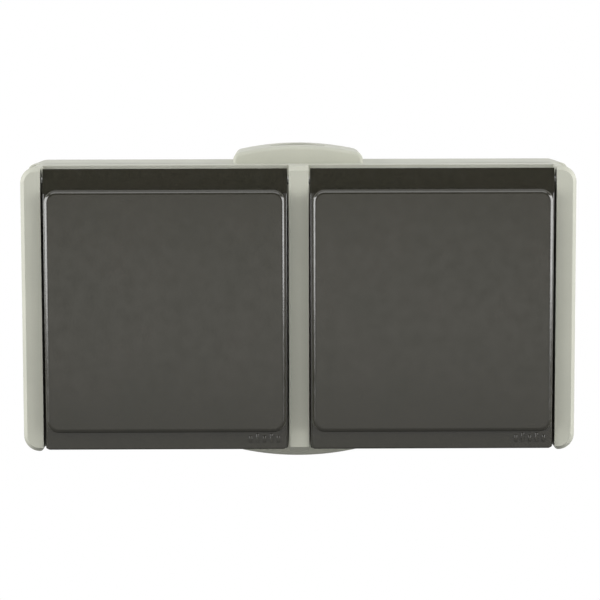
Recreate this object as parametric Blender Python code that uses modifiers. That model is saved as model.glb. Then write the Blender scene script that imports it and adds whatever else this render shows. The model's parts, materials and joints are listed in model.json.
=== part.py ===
"""Two-gang surface-mounted wall switch with a hinged weather lid over each rocker.

X runs to the right, Y into the wall and Z up. The origin is the centre of the rear face,
which lies on the wall, so the front of the switch faces -Y.
"""

import math

import bmesh
import bpy
from mathutils import Matrix, Vector

MM = 0.001

# Housing
BODY_WIDTH = 147.8 * MM
BODY_HEIGHT = 76.3 * MM
BASE_CORNER_RADIUS = 2.0 * MM
COVER_CORNER_RADIUS = 4.3 * MM
WALL = 2.2 * MM
REAR_WALL = 2.4 * MM
SEAM_Y = -30.0 * MM
CHEEK_FACE_Y = -50.0 * MM
GAP = 0.3 * MM

# Entry bosses, above and below the housing
BOSS_HALF_WIDTH = 17.8 * MM
BOSS_HEIGHT = 4.75 * MM
BOSS_CROWN_RADIUS = 75.0 * MM
BOSS_FILLET = 1.6 * MM
ENTRY_Y = -15.0 * MM
ENTRY_HOLE_RADIUS = 8.0 * MM
CABLE_HOLE_RADIUS = 4.0 * MM

# Front cover
BAR_HALF_WIDTH = 2.65 * MM
CHEEK_INNER_X = 68.5 * MM
FLOOR_Y = -41.0 * MM
FLOOR_THICKNESS = 2.0 * MM
APERTURE_HALF = 24.4 * MM
COLLAR_WALL = 2.0 * MM
COLLAR_FACE_Y = -49.0 * MM
COVER_SCREW_X = 64.2 * MM
COVER_SCREW_Z = 29.8 * MM
TOWER_RADIUS = 3.6 * MM

# Lids
GANG_X = 35.475 * MM
LID_HALF_WIDTH = 32.425 * MM
LID_BOTTOM_Z = -37.4 * MM
LID_BACK_Y = -44.7 * MM
LID_WALL = 1.8 * MM
PAD_HALF_WIDTH = 32.175 * MM
PAD_BOTTOM_Z = -33.1 * MM
PAD_TOP_Z = 31.35 * MM
PAD_FACE_Y = -53.5 * MM
PAD_RADIUS = 3.0 * MM
PAD_EDGE = 1.2 * MM
LIP_FACE_Y = -52.0 * MM
HINGE_Y = -47.1 * MM
HINGE_Z = 34.35 * MM
BARREL_RADIUS = 2.9 * MM
PIN_RADIUS = 1.0 * MM
SPRING_CHAMBER_RADIUS = 2.2 * MM
SPRING_CHAMBER_HALF = 6.0 * MM

# Rocker and its cradle
ROCKER_Y = -38.0 * MM
ROCKER_TILT = math.radians(6.0)
ROCKER_HALF = 23.4 * MM
ROCKER_FACE_Y = -46.5 * MM
ROCKER_BACK_Y = -40.0 * MM
ROCKER_WALL = 1.8 * MM
TRUNNION_RADIUS = 2.0 * MM
PLUNGER_RADIUS = 1.8 * MM
PLUNGER_TIP_Y = -21.6 * MM

# Switch insert
STRAP_Y = -26.0 * MM
STRAP_THICKNESS = 1.2 * MM
STRAP_SCREW_Z = 27.0 * MM
INSERT_REAR_Y = -8.0 * MM
LEVER_Y = -20.0 * MM
LEVER_TILT = math.radians(-5.0)
CONTACT_Z = 9.0 * MM
TERMINAL_X = 15.75 * MM

ROUND_STEPS = 6

for old in list(bpy.data.objects):
    bpy.data.objects.remove(old, do_unlink=True)

PARTS = bpy.data.collections.new("rocker_wall_switch")
CUTTERS = bpy.data.collections.new("cutters")
for collection in (PARTS, CUTTERS):
    bpy.context.scene.collection.children.link(collection)


def material(name, colour, roughness, metallic=0.0):
    """A plain Principled material."""
    made = bpy.data.materials.new(name)
    made.use_nodes = True
    shader = made.node_tree.nodes["Principled BSDF"]
    shader.inputs["Base Color"].default_value = (*colour, 1.0)
    shader.inputs["Roughness"].default_value = roughness
    shader.inputs["Metallic"].default_value = metallic
    return made


LIGHT_GREY = material("light_grey_plastic", (0.48, 0.49, 0.42), 0.45)
DARK_GREY = material("dark_grey_plastic", (0.07, 0.065, 0.05), 0.4)
WHITE_PLASTIC = material("white_insert_plastic", (0.72, 0.72, 0.68), 0.5)
RUBBER = material("black_rubber", (0.03, 0.03, 0.03), 0.8)
STEEL = material("zinc_plated_steel", (0.6, 0.6, 0.6), 0.35, 1.0)
BRASS = material("brass", (0.65, 0.5, 0.2), 0.35, 1.0)


# Placing pieces


def empty(name, location, parent=None):
    """An empty that marks a gang's centre or a joint's axis."""
    marker = bpy.data.objects.new(name, None)
    marker.location = location
    marker.parent = parent
    PARTS.objects.link(marker)
    return marker


def attach(piece, anchor):
    """Hang a piece on an empty. A piece on a joint's axis is modelled about its gang's centre."""
    if anchor is None:
        return
    piece.parent = anchor
    if anchor.parent:
        piece.location -= anchor.location


def part(piece, name, finish, anchor=None):
    """Name a finished piece, give it its material and hang it on its empty."""
    piece.name = name
    piece.data.materials.append(finish)
    attach(piece, anchor)
    PARTS.objects.link(piece)
    return piece


def boolean(piece, tool, operation, anchor):
    """Join or cut with a tool shape, which is hidden from the finished model."""
    tool.name = "cutter_" + tool.name
    tool.hide_render = True
    tool.display_type = "WIRE"
    attach(tool, anchor)
    CUTTERS.objects.link(tool)
    modifier = piece.modifiers.new(operation.lower(), "BOOLEAN")
    modifier.operation = operation
    modifier.solver = "EXACT"
    modifier.object = tool


def cut(piece, anchor, *tools):
    """Cut each tool shape out of a piece."""
    for tool in tools:
        boolean(piece, tool, "DIFFERENCE", anchor)


def join(piece, anchor, *tools):
    """Join each tool shape to a piece."""
    for tool in tools:
        boolean(piece, tool, "UNION", anchor)


# Shapes


def object_from(shape, name):
    """Turn a bmesh into an object."""
    mesh = bpy.data.meshes.new(name)
    shape.to_mesh(mesh)
    shape.free()
    return bpy.data.objects.new(name, mesh)


def blocks(*corner_pairs):
    """One object of separate boxes, each from its lowest to its highest corner."""
    shape = bmesh.new()
    for low, high in corner_pairs:
        low, high = Vector(low), Vector(high)
        place = Matrix.Translation((low + high) / 2) @ Matrix.Diagonal((*(high - low), 1.0))
        bmesh.ops.create_cube(shape, size=1.0, matrix=place)
    return object_from(shape, "blocks")


def rods(radius, *end_pairs, sides=16):
    """One object of separate round bars of one radius, each from end to end."""
    shape = bmesh.new()
    for start, end in end_pairs:
        start, end = Vector(start), Vector(end)
        along = end - start
        turn = Vector((0, 0, 1)).rotation_difference(along).to_matrix().to_4x4()
        place = Matrix.Translation((start + end) / 2) @ turn
        bmesh.ops.create_cone(
            shape, cap_ends=True, segments=sides, radius1=radius, radius2=radius,
            depth=along.length, matrix=place,
        )
    made = object_from(shape, "rods")
    smooth(made)
    return made


def smooth(piece):
    """Shade round faces smooth and keep the hard edges."""
    piece.data.shade_smooth()
    piece.data.set_sharp_from_angle(angle=math.radians(35))


def arc(centre_x, centre_z, radius, start, end, steps=ROUND_STEPS):
    """Points on an arc, with its angles in degrees."""
    angles = [math.radians(start + (end - start) * step / steps) for step in range(steps + 1)]
    return [(centre_x + radius * math.cos(a), centre_z + radius * math.sin(a)) for a in angles]


def rounded_outline(half_width, low_z, high_z, radius):
    """A rectangle with rounded corners, about X = 0, anticlockwise."""
    inner_x = half_width - radius
    points = arc(inner_x, low_z + radius, radius, -90, 0)
    points += arc(inner_x, high_z - radius, radius, 0, 90)
    points += arc(-inner_x, high_z - radius, radius, 90, 180)
    points += arc(-inner_x, low_z + radius, radius, 180, 270)
    return points


def boss_outline(inset=0.0):
    """The top boss, which reaches down into the housing: straight sides, round corners and a crown."""
    half_width = BOSS_HALF_WIDTH - inset
    foot_z = BODY_HEIGHT / 2 - WALL - 1 * MM
    crown_radius = BOSS_CROWN_RADIUS - inset
    crown_centre_z = BODY_HEIGHT / 2 + BOSS_HEIGHT - BOSS_CROWN_RADIUS
    fillet = max(BOSS_FILLET - inset, GAP)
    fillet_x = half_width - fillet
    fillet_z = crown_centre_z + math.sqrt((crown_radius - fillet) ** 2 - fillet_x ** 2)
    meeting = math.degrees(math.atan2(fillet_z - crown_centre_z, fillet_x))
    points = [(half_width, foot_z)]
    points += arc(fillet_x, fillet_z, fillet, 0, meeting, 3)
    points += arc(0, crown_centre_z, crown_radius, meeting, 180 - meeting, 10)[1:-1]
    points += arc(-fillet_x, fillet_z, fillet, 180 - meeting, 180, 3)
    points += [(-half_width, foot_z)]
    return points


def body_outline(inset=0.0, corner_radius=COVER_CORNER_RADIUS):
    """The housing's outline without its bosses, moved inwards by inset."""
    half_height = BODY_HEIGHT / 2 - inset
    return rounded_outline(BODY_WIDTH / 2 - inset, -half_height, half_height, corner_radius - inset)


def slab(outline, back_y, front_y):
    """A flat shape with the outline in XZ, from back_y to front_y."""
    curve = bpy.data.curves.new("outline", "CURVE")
    curve.dimensions = "2D"
    curve.fill_mode = "BOTH"
    curve.extrude = abs(back_y - front_y) / 2
    spline = curve.splines.new("POLY")
    spline.points.add(len(outline) - 1)
    for point, (x, z) in zip(spline.points, outline):
        point.co = (x, z, 0, 1)
    spline.use_cyclic_u = True
    flat = bpy.data.objects.new("outline", curve)
    bpy.context.scene.collection.objects.link(flat)
    evaluated = flat.evaluated_get(bpy.context.evaluated_depsgraph_get())
    mesh = bpy.data.meshes.new_from_object(evaluated)
    bpy.data.objects.remove(flat, do_unlink=True)
    stand_up = Matrix.Translation((0, (back_y + front_y) / 2, 0)) @ Matrix.Rotation(math.radians(90), 4, "X")
    mesh.transform(stand_up)
    shape = bmesh.new()
    shape.from_mesh(mesh)
    bmesh.ops.remove_doubles(shape, verts=shape.verts, dist=0.01 * MM)
    flat_angle = math.radians(0.5)
    bmesh.ops.dissolve_limit(shape, angle_limit=flat_angle, verts=shape.verts, edges=shape.edges)
    bmesh.ops.recalc_face_normals(shape, faces=shape.faces)
    bpy.data.meshes.remove(mesh)
    return object_from(shape, "slab")


def flipped(piece):
    """Turn a shape upside down about the housing's depth axis."""
    piece.data.transform(Matrix.Rotation(math.pi, 4, "Y"))
    return piece


def round_edges(piece, width, segments=2):
    """Round the hard edges of a piece."""
    bevel = piece.modifiers.new("round_edges", "BEVEL")
    bevel.width = width
    bevel.segments = segments
    bevel.limit_method = "ANGLE"
    bevel.angle_limit = math.radians(35)


def turned(profile, location, axis_to_front, steps=20):
    """A turned piece from (radius, height) points. Its axis is Z, or runs to the front along -Y."""
    mesh = bpy.data.meshes.new("turned")
    closed = profile[0][0] > 0
    edges = [(index, index + 1) for index in range(len(profile) - 1)]
    if closed:
        edges.append((len(profile) - 1, 0))
    mesh.from_pydata([(radius, 0, height) for radius, height in profile], edges, [])
    made = bpy.data.objects.new("turned", mesh)
    screw = made.modifiers.new("turn", "SCREW")
    screw.steps = steps
    screw.render_steps = steps
    screw.use_merge_vertices = True
    screw.merge_threshold = 0.01 * MM
    made.location = location
    if axis_to_front:
        made.rotation_euler = (math.radians(90), 0, 0)
    return made


def coil(radius, wire, turns, start, along, lead_in=(), lead_out=()):
    """A coil spring: a helix about the vector along, with straight ends."""
    curve = bpy.data.curves.new("coil", "CURVE")
    curve.dimensions = "3D"
    curve.bevel_depth = wire / 2
    curve.bevel_resolution = 1
    curve.use_fill_caps = True
    per_turn = 8
    count = int(turns * per_turn)
    along = Vector(along)
    turn = Vector((0, 0, 1)).rotation_difference(along).to_matrix()
    points = [Vector(point) for point in lead_in]
    for step in range(count + 1):
        angle = 2 * math.pi * step / per_turn
        around = Vector((radius * math.cos(angle), radius * math.sin(angle), 0))
        points.append(Vector(start) + turn @ around + along * (step / count))
    points += [Vector(point) for point in lead_out]
    spline = curve.splines.new("POLY")
    spline.points.add(len(points) - 1)
    for point, place in zip(spline.points, points):
        point.co = (*place, 1)
    return bpy.data.objects.new("coil", curve)


def mirrored_x(points):
    """Each (x, z) point and its mirror images in X and Z."""
    return [(side * x, level * z) for x, z in points for side in (-1, 1) for level in (-1, 1)]


def screw_profile(head_radius, head_height, shank_radius, length):
    """A pan-head screw's profile, from the top of its head at height 0 to its tip."""
    crown = head_height * 0.4
    return [
        (0, 0),
        (head_radius * 0.6, 0),
        (head_radius, -crown),
        (head_radius, -head_height),
        (shank_radius, -head_height),
        (shank_radius, -length + shank_radius),
        (shank_radius * 0.3, -length),
        (0, -length),
    ]


# Housing


def make_base():
    """The rear box with its bosses, screw posts, wall holes and cable entries."""
    base = slab(body_outline(0, BASE_CORNER_RADIUS), 0, SEAM_Y)
    join(base, None, slab(boss_outline(), 0, SEAM_Y), flipped(slab(boss_outline(), 0, SEAM_Y)))
    cut(base, None, slab(body_outline(WALL), -REAR_WALL, SEAM_Y * 2))
    hollows = [slab(boss_outline(WALL), -REAR_WALL, SEAM_Y * 2) for _ in range(2)]
    cut(base, None, hollows[0], flipped(hollows[1]))
    root_y = -REAR_WALL / 2
    corner_posts = mirrored_x([(COVER_SCREW_X, COVER_SCREW_Z)])
    strap_posts = mirrored_x([(GANG_X, STRAP_SCREW_Z)])
    posts = [((x, root_y, z), (x, SEAM_Y + 2.7 * MM, z)) for x, z in corner_posts]
    posts += [((x, root_y, z), (x, STRAP_Y + GAP, z)) for x, z in strap_posts]
    join(base, None, rods(TOWER_RADIUS, *posts, sides=12))
    pilots = [((x, -5 * MM, z), (x, SEAM_Y, z)) for x, z in corner_posts + strap_posts]
    cut(base, None, rods(2.0 * MM, *pilots, sides=10))
    wall_holes = mirrored_x([(60 * MM, 18 * MM)])
    through = [((x, 1 * MM, z), (x, -2 * REAR_WALL, z)) for x, z in wall_holes]
    cut(base, None, rods(2.3 * MM, *through, sides=12))
    crown_z = BODY_HEIGHT / 2 + BOSS_HEIGHT
    inner_z = BODY_HEIGHT / 2
    entries = [((0, ENTRY_Y, side * inner_z), (0, ENTRY_Y, side * (crown_z + 1 * MM))) for side in (-1, 1)]
    cut(base, None, rods(ENTRY_HOLE_RADIUS, *entries, sides=24))
    part(base, "base_box", LIGHT_GREY)


def cover_pockets():
    """The space in front of each gang's floor, open at the top and the bottom."""
    tools = []
    for side in (-1, 1):
        inner, outer = sorted((side * BAR_HALF_WIDTH, side * CHEEK_INNER_X))
        low = (inner, CHEEK_FACE_Y - 5 * MM, -BODY_HEIGHT)
        tools.append(blocks((low, (outer, FLOOR_Y, BODY_HEIGHT))))
    return tools


def make_cover():
    """The front shell with its cheeks, centre bar, pocket floors, collars and screw towers."""
    cover = slab(body_outline(), SEAM_Y - GAP, CHEEK_FACE_Y)
    round_edges(cover, 0.6 * MM, 2)
    cut(cover, None, *cover_pockets())
    floor_back = FLOOR_Y + FLOOR_THICKNESS
    cut(cover, None, slab(body_outline(WALL), 0, floor_back))
    for side in (-1, 1):
        centre = side * GANG_X
        outer = APERTURE_HALF + COLLAR_WALL
        collar = blocks(((centre - outer, COLLAR_FACE_Y, -outer), (centre + outer, floor_back - GAP, outer)))
        join(cover, None, collar)
        window = APERTURE_HALF
        hole = blocks(((centre - window, -1, -window), (centre + window, floor_back + GAP, window)))
        cut(cover, None, hole)
    corners = mirrored_x([(COVER_SCREW_X, COVER_SCREW_Z)])
    towers = [((x, floor_back - 1 * MM, z), (x, SEAM_Y + 2.4 * MM, z)) for x, z in corners]
    join(cover, None, rods(TOWER_RADIUS, *towers, sides=12))
    cut(cover, None, rods(2.1 * MM, *[((x, -60 * MM, z), (x, -20 * MM, z)) for x, z in corners], sides=10))
    recess = [((x, FLOOR_Y + 3.2 * MM, z), (x, FLOOR_Y - 3 * MM, z)) for x, z in corners]
    recesses = rods(3.1 * MM, *recess, sides=12)
    cut(cover, None, recesses)
    pin_holes = []
    for side in (-1, 1):
        reach = LID_HALF_WIDTH + 2.2 * MM
        ends = [(side * GANG_X - reach, HINGE_Y, HINGE_Z), (side * GANG_X + reach, HINGE_Y, HINGE_Z)]
        pin_holes.append(ends)
    cut(cover, None, rods(PIN_RADIUS + GAP, *pin_holes, sides=12))
    part(cover, "front_cover", LIGHT_GREY)


def make_cover_gasket():
    """The rubber strip that lines the seam between box and cover."""
    outer = WALL + GAP
    gasket = slab(body_outline(outer), SEAM_Y + 1.8 * MM, SEAM_Y - 2.5 * MM)
    cut(gasket, None, slab(body_outline(outer + 1.4 * MM), 0, -60 * MM))
    part(gasket, "cover_gasket", RUBBER)


def make_entry_seals():
    """A pierced grommet in the top boss and a blank plug in the bottom boss."""
    flange_z = BODY_HEIGHT / 2 + 1.9 * MM
    face_z = BODY_HEIGHT / 2 + BOSS_HEIGHT - 0.6 * MM
    neck = ENTRY_HOLE_RADIUS - GAP
    flange = neck + 1.7 * MM
    hole = CABLE_HOLE_RADIUS
    lower_z = flange_z - 1.4 * MM
    cone_z = lower_z - 3 * MM
    grommet = [
        (hole, face_z - 1.2 * MM), (neck - 1.6 * MM, face_z - 0.4 * MM), (neck - 0.6 * MM, face_z),
        (neck, face_z - 0.4 * MM), (neck, flange_z), (flange, flange_z), (flange, lower_z),
        (hole + 2.2 * MM, lower_z), (hole + 1.0 * MM, cone_z), (hole, cone_z),
    ]
    part(turned(grommet, (0, ENTRY_Y, 0), False, 24), "top_entry_grommet", RUBBER)
    plug = [
        (0, face_z - 0.8 * MM), (neck - 1.6 * MM, face_z - 0.6 * MM), (neck - 0.6 * MM, face_z),
        (neck, face_z - 0.4 * MM), (neck, flange_z), (flange, flange_z), (flange, lower_z), (0, lower_z),
    ]
    blank = turned(plug, (0, ENTRY_Y, 0), False, 24)
    blank.rotation_euler = (math.radians(180), 0, 0)
    part(blank, "bottom_entry_plug", RUBBER)


def make_cover_screws():
    """Four screws in the outer corners of the pockets, with cross recesses."""
    head_y = FLOOR_Y + 0.6 * MM
    for number, (x, z) in enumerate(mirrored_x([(COVER_SCREW_X, COVER_SCREW_Z)]), start=1):
        profile = screw_profile(2.8 * MM, 2.3 * MM, 1.7 * MM, 26 * MM)
        screw = turned(profile, (x, head_y, z), True, 12)
        half, thin, depth = 1.7 * MM, 0.35 * MM, 1.2 * MM
        cross = blocks(((x - half, head_y - 1 * MM, z - thin), (x + half, head_y + depth, z + thin)))
        bar = blocks(((x - thin, head_y - 1 * MM, z - half), (x + thin, head_y + depth, z + half)))
        cut(screw, None, cross, bar)
        part(screw, f"cover_screw_{number}", STEEL)


# Lids


def make_lid(name, axis):
    """A lid: raised pad, finger lip, hinge barrel and a hollow rear."""
    pad = rounded_outline(PAD_HALF_WIDTH, PAD_BOTTOM_Z, PAD_TOP_Z, PAD_RADIUS)
    lid = slab(pad, LID_BACK_Y, PAD_FACE_Y)
    round_edges(lid, PAD_EDGE)
    half = LID_HALF_WIDTH
    lip_top = PAD_BOTTOM_Z + PAD_EDGE + LID_WALL
    lip = blocks(((-half, LIP_FACE_Y, LID_BOTTOM_Z), (half, LID_BACK_Y, lip_top)))
    round_edges(lip, 0.4 * MM, 2)
    web_low_z = PAD_TOP_Z - LID_WALL
    web = blocks(((-half, HINGE_Y - 2.6 * MM, web_low_z), (half, HINGE_Y + 1.5 * MM, HINGE_Z)))
    barrel = rods(BARREL_RADIUS, ((-half, HINGE_Y, HINGE_Z), (half, HINGE_Y, HINGE_Z)), sides=24)
    hood = blocks(((-half, HINGE_Y - 3.4 * MM, web_low_z), (half, HINGE_Y - 2 * MM, PAD_TOP_Z + 1.4 * MM)))
    join(lid, axis, lip, web, barrel, hood)
    inner = PAD_HALF_WIDTH - LID_WALL
    behind = LID_BACK_Y + 3 * MM
    pad_low = PAD_BOTTOM_Z + LID_WALL
    pad_space = blocks(((-inner, PAD_FACE_Y + LID_WALL, pad_low), (inner, behind, PAD_TOP_Z - LID_WALL)))
    lip_space = blocks(((-inner, LIP_FACE_Y + LID_WALL, LID_BOTTOM_Z + LID_WALL), (inner, behind, lip_top)))
    cut(lid, axis, pad_space, lip_space)
    bore = rods(PIN_RADIUS + GAP, ((-half * 2, HINGE_Y, HINGE_Z), (half * 2, HINGE_Y, HINGE_Z)), sides=12)
    chamber_ends = ((-SPRING_CHAMBER_HALF, HINGE_Y, HINGE_Z), (SPRING_CHAMBER_HALF, HINGE_Y, HINGE_Z))
    chamber = rods(SPRING_CHAMBER_RADIUS, chamber_ends)
    window = blocks((
        (-SPRING_CHAMBER_HALF, HINGE_Y + 0.4 * MM, HINGE_Z - 5 * MM),
        (SPRING_CHAMBER_HALF, HINGE_Y + 4 * MM, HINGE_Z + 4 * MM),
    ))
    cut(lid, axis, bore, chamber, window)
    part(lid, name, DARK_GREY, axis)


def make_lid_seal(name, axis):
    """The rubber frame inside a lid that closes on the cover's collar."""
    outer = APERTURE_HALF + COLLAR_WALL + 1.6 * MM
    inner = APERTURE_HALF - 1.0 * MM
    front_y = PAD_FACE_Y + LID_WALL + GAP
    seal = slab(rounded_outline(outer, -outer, outer, 2 * MM), COLLAR_FACE_Y - GAP, front_y)
    cut(seal, axis, slab(rounded_outline(inner, -inner, inner, 1 * MM), -40 * MM, -60 * MM))
    part(seal, name, RUBBER, axis)


def make_hinge_pin(name, gang):
    """The steel pin that a lid turns on, held in the bar and in the cheek."""
    reach = LID_HALF_WIDTH + 1.9 * MM
    pin = rods(PIN_RADIUS, ((-reach, HINGE_Y, HINGE_Z), (reach, HINGE_Y, HINGE_Z)), sides=16)
    round_edges(pin, 0.2 * MM, 1)
    part(pin, name, STEEL, gang)


def make_lid_spring(name, gang):
    """The torsion spring round a hinge pin, with a foot on the pocket floor."""
    wire = 0.5 * MM
    radius = PIN_RADIUS + GAP + wire / 2
    length = 9 * MM
    start = Vector((-length / 2, HINGE_Y, HINGE_Z))
    foot_y = FLOOR_Y - GAP - wire / 2
    foot = [(-length / 2, foot_y, HINGE_Z - 6 * MM), (-length / 2, HINGE_Y + radius, HINGE_Z - 1 * MM)]
    spring = coil(radius, wire, 5.0, start, (length, 0, 0), lead_in=foot)
    part(spring, name, STEEL, gang)


# Rocker


def make_rocker(name, axis):
    """The rocker cap: a shallow shell with a dished face."""
    half = ROCKER_HALF
    rocker = blocks(((-half, ROCKER_FACE_Y, -half), (half, ROCKER_BACK_Y, half)))
    round_edges(rocker, 0.8 * MM, 2)
    inner = half - ROCKER_WALL
    hollow = blocks(((-inner, ROCKER_FACE_Y + ROCKER_WALL, -inner), (inner, ROCKER_BACK_Y + 5 * MM, inner)))
    cut(rocker, axis, hollow)
    part(rocker, name, LIGHT_GREY, axis)


def make_cradle(name, axis):
    """The cradle that the rocker clips on, with its trunnions and plunger guide."""
    front_y = ROCKER_FACE_Y + ROCKER_WALL + GAP
    back_y = ROCKER_Y + 5 * MM
    guide_end = back_y + 6 * MM
    half_x, half_z = 7.2 * MM, 7.0 * MM
    cradle = blocks(((-half_x, front_y, -half_z), (half_x, back_y, half_z)))
    trunnion = rods(TRUNNION_RADIUS, ((-10.2 * MM, ROCKER_Y, 0), (10.2 * MM, ROCKER_Y, 0)), sides=16)
    guide = rods(PLUNGER_RADIUS + 1.5 * MM, ((0, back_y - 1 * MM, 0), (0, guide_end, 0)))
    join(cradle, axis, trunnion, guide)
    bore = rods(PLUNGER_RADIUS + GAP, ((0, ROCKER_Y - 4 * MM, 0), (0, guide_end + 1 * MM, 0)))
    cut(cradle, axis, bore)
    part(cradle, name, WHITE_PLASTIC, axis)


def make_plunger(name, axis):
    """The sprung plunger whose round tip throws the contact lever."""
    length = PLUNGER_TIP_Y - (ROCKER_Y + 5 * MM)
    dome = [
        (PLUNGER_RADIUS * math.sin(a), PLUNGER_RADIUS * (1 - math.cos(a)))
        for a in (math.radians(90 * step / 4) for step in range(4, -1, -1))
    ]
    profile = [(0, length), (PLUNGER_RADIUS, length)] + dome
    plunger = turned(profile, (0, PLUNGER_TIP_Y, 0), True, 16)
    part(plunger, name, WHITE_PLASTIC, axis)


def make_plunger_spring(name, axis):
    """The compression spring behind the plunger."""
    wire = 0.5 * MM
    radius = PLUNGER_RADIUS - wire
    start = (0, ROCKER_Y - 4 * MM + wire, 0)
    length = 9 * MM - GAP - 2 * wire
    part(coil(radius, wire, 4.0, start, (0, length, 0)), name, STEEL, axis)


# Switch insert


def make_switch_base(name, gang):
    """The insulating block that holds the contacts and the cradle's bearings."""
    rear, front = INSERT_REAR_Y, STRAP_Y + GAP
    neck_front = STRAP_Y - 4 * MM
    body = blocks(((-20.5 * MM, front, -16 * MM), (20.5 * MM, rear, 16 * MM)))
    round_edges(body, 0.8 * MM, 1)
    neck = blocks(((-10.5 * MM, neck_front, -12 * MM), (10.5 * MM, rear - 2 * MM, 12 * MM)))
    ears = [blocks(sorted_box(side * 7.5, side * 10.5)) for side in (-1, 1)]
    join(body, gang, neck, *ears)
    cavity = blocks(((-7.5 * MM, -60 * MM, -11.3 * MM), (7.5 * MM, rear - 3 * MM, 11.3 * MM)))
    bearing_ends = ((-30 * MM, ROCKER_Y, 0), (30 * MM, ROCKER_Y, 0))
    bearings = rods(TRUNNION_RADIUS + GAP, bearing_ends, sides=16)
    cut(body, gang, cavity, bearings)
    for side, z in terminal_places():
        near, far = sorted((side * 13 * MM, side * 18.5 * MM))
        pocket = blocks(((near, -40 * MM, z - 3.7 * MM), (far, rear - 4 * MM, z + 3.7 * MM)))
        near, far = sorted((side * 7 * MM, side * 13.5 * MM))
        slot = blocks(((near, -16.2 * MM, z - 1.7 * MM), (far, -14.2 * MM, z + 1.7 * MM)))
        entry = rods(1.6 * MM, ((side * 17 * MM, -17.5 * MM, z), (side * 22 * MM, -17.5 * MM, z)), sides=12)
        cut(body, gang, pocket, slot, entry)
    part(body, name, WHITE_PLASTIC, gang)


def sorted_box(near_mm, far_mm):
    """The corners of one bearing ear, between two distances from the gang's centre."""
    low, high = sorted((near_mm * MM, far_mm * MM))
    return (low, ROCKER_Y - 3.2 * MM, -4.5 * MM), (high, STRAP_Y - 2 * MM, 4.5 * MM)


def terminal_places():
    """Side and height of the three terminals: common on the left, loads on the right."""
    return [(-1, 0.0), (1, 8.0 * MM), (1, -8.0 * MM)]


def make_terminal(name, side, z, gang):
    """A brass clamp block with its strip, which ends in a contact or in the lever's fulcrum."""
    x = side * TERMINAL_X
    block = blocks(((x - 2.4 * MM, -20 * MM, z - 3.4 * MM), (x + 2.4 * MM, -12.3 * MM, z + 3.4 * MM)))
    strip_end = -side * 2 * MM
    near, far = sorted((strip_end, x))
    strip = blocks(((near, -15.9 * MM, z - 1.4 * MM), (far, -14.5 * MM, z + 1.4 * MM)))
    join(block, gang, strip)
    if z == 0:
        join(block, gang, blocks(((-2 * MM, LEVER_Y, -0.6 * MM), (2 * MM, -15 * MM, 0.6 * MM))))
    else:
        contact_z = math.copysign(CONTACT_Z, z)
        rivet = rods(1.2 * MM, ((0, -15 * MM, contact_z), (0, -17.1 * MM, contact_z)), sides=16)
        join(block, gang, rivet)
    cut(block, gang, rods(1.8 * MM, ((x, -30 * MM, z), (x, -13.6 * MM, z)), sides=16))
    part(block, name, BRASS, gang)


def make_terminal_screw(name, side, z, gang):
    """The clamp screw of one terminal."""
    profile = screw_profile(2.2 * MM, 1.5 * MM, 1.5 * MM, 8 * MM)
    part(turned(profile, (side * TERMINAL_X, -22.3 * MM, z), True, 12), name, STEEL, gang)


def make_contact_lever(name, axis):
    """The brass seesaw that the plunger throws, with a contact rivet at each end."""
    near = LEVER_Y - GAP
    lever = blocks(((-2.4 * MM, near - 0.8 * MM, -10.3 * MM), (2.4 * MM, near, 10.3 * MM)))
    ends = [((0, near - 0.4 * MM, side * CONTACT_Z), (0, -18.2 * MM, side * CONTACT_Z)) for side in (-1, 1)]
    join(lever, axis, rods(1.3 * MM, *ends, sides=16))
    part(lever, name, BRASS, axis)


def make_strap(name, gang):
    """The steel strap that fixes the insert to its two posts."""
    front = STRAP_Y - STRAP_THICKNESS
    strap = slab(rounded_outline(12.5 * MM, -31 * MM, 31 * MM, 3 * MM), STRAP_Y, front)
    opening = blocks(((-10.8 * MM, -60 * MM, -12.3 * MM), (10.8 * MM, -10 * MM, 12.3 * MM)))
    holes = [((0, -60 * MM, side * STRAP_SCREW_Z), (0, -10 * MM, side * STRAP_SCREW_Z)) for side in (-1, 1)]
    cut(strap, gang, opening, rods(2.0 * MM, *holes, sides=16))
    part(strap, name, STEEL, gang)


def make_strap_screw(name, z, gang):
    """A screw that holds the strap on its post."""
    profile = screw_profile(3.1 * MM, 2.0 * MM, 1.6 * MM, 13 * MM)
    head_y = STRAP_Y - STRAP_THICKNESS - GAP - 2.0 * MM
    part(turned(profile, (0, head_y, z), True, 12), name, STEEL, gang)


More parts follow.
